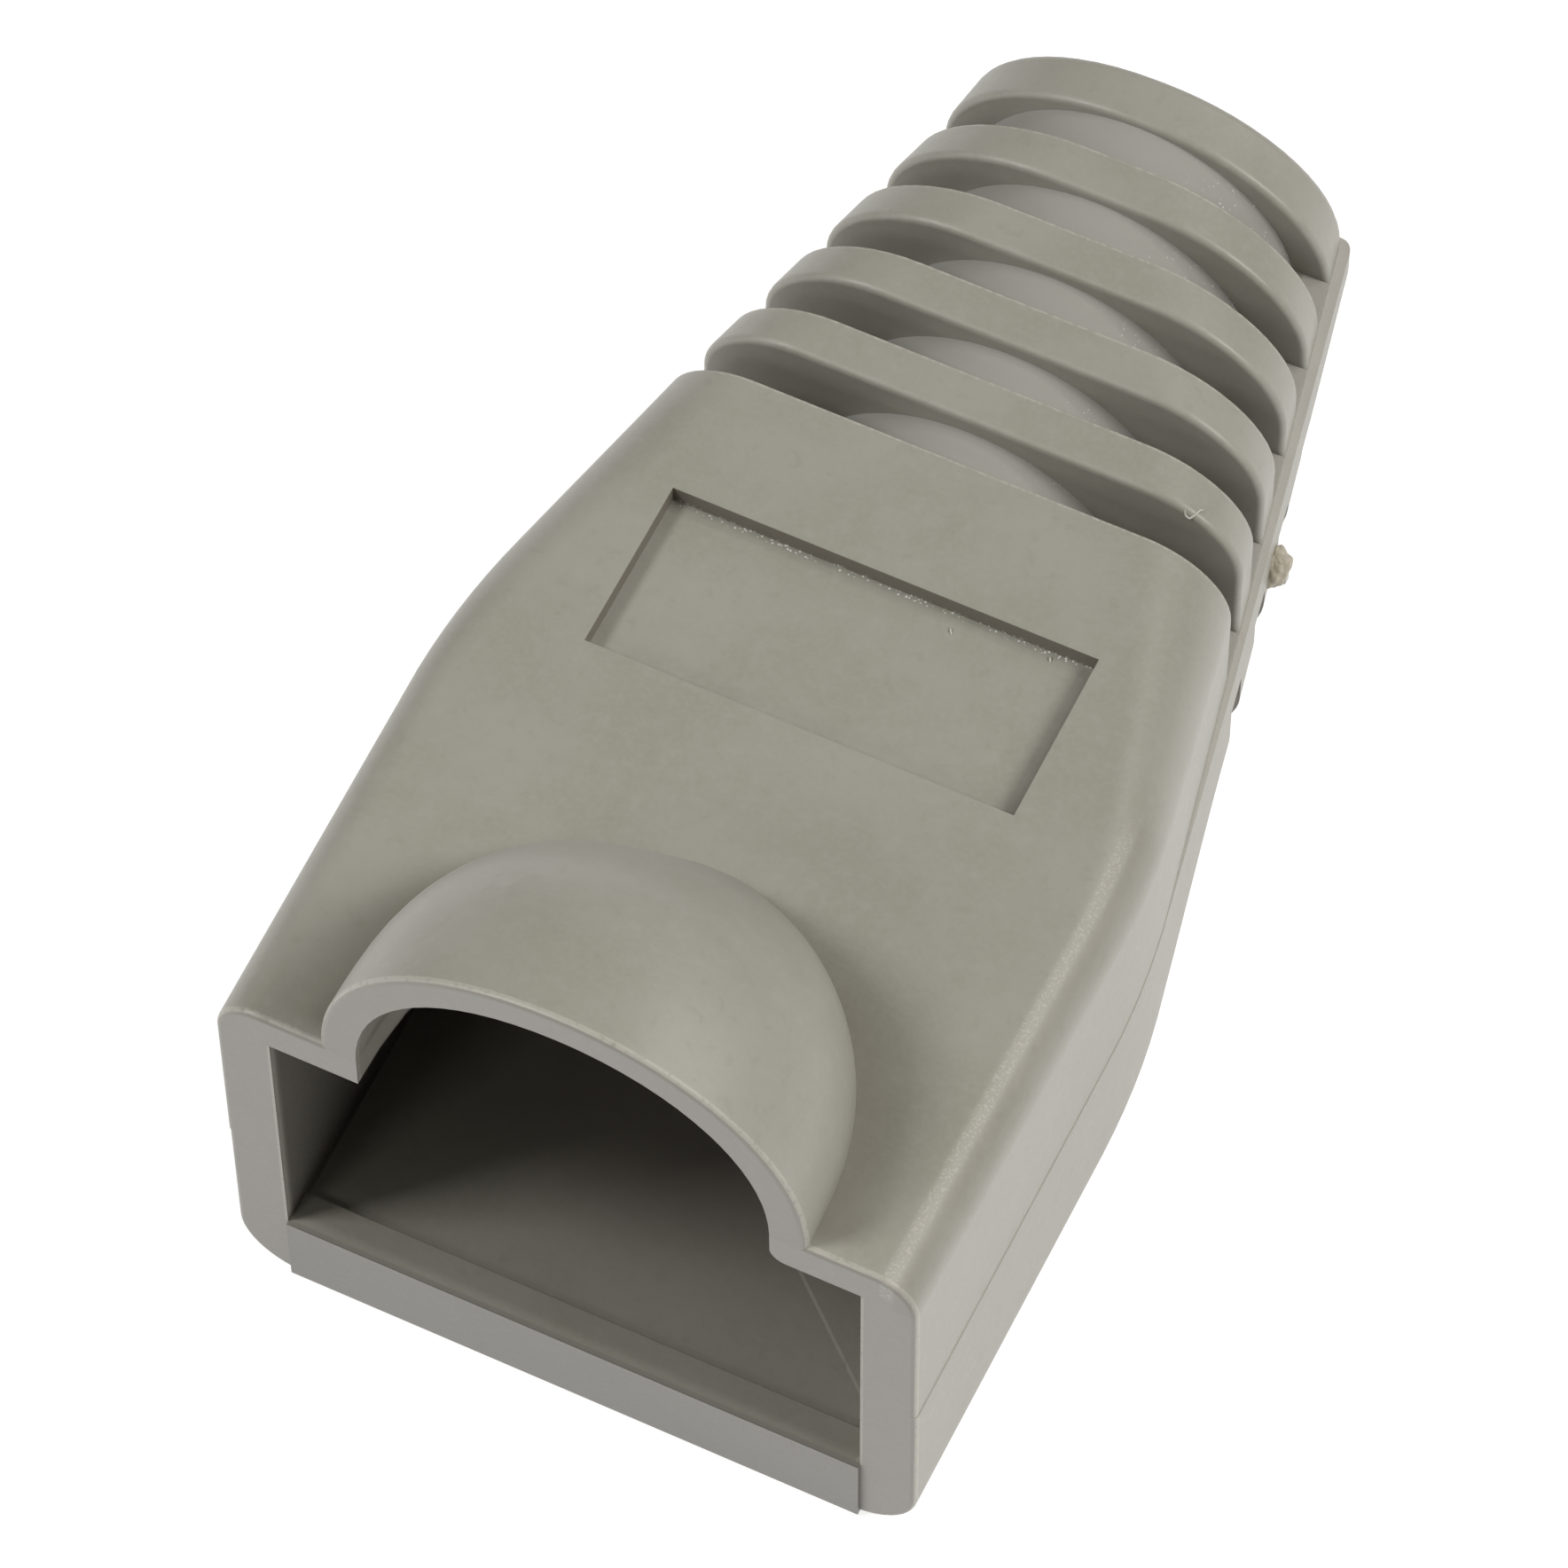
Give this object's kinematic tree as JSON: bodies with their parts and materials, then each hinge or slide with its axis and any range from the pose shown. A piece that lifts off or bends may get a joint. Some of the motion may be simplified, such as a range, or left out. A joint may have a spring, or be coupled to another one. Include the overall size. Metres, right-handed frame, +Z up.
{
  "type": "rj45 strain relief boot",
  "caption": "Slip-on strain relief boot for an eight-way modular plug, with a slotted flexible neck round the cable and a domed cover over the plug's latch.",
  "frame": {"origin": "centre of the footprint on the flat underside", "axes": "+Y along the cable, away from the plug; +Z up, towards the latch cover; +X across"},
  "size_m": [0.0142, 0.0263, 0.0145],
  "materials": {
    "strain_relief_boot": "satin moulded soft PVC, warm grey"
  },
  "bodies": {
    "root": {"strain_relief_boot": "strain_relief_boot"}
  },
  "joints": []
}
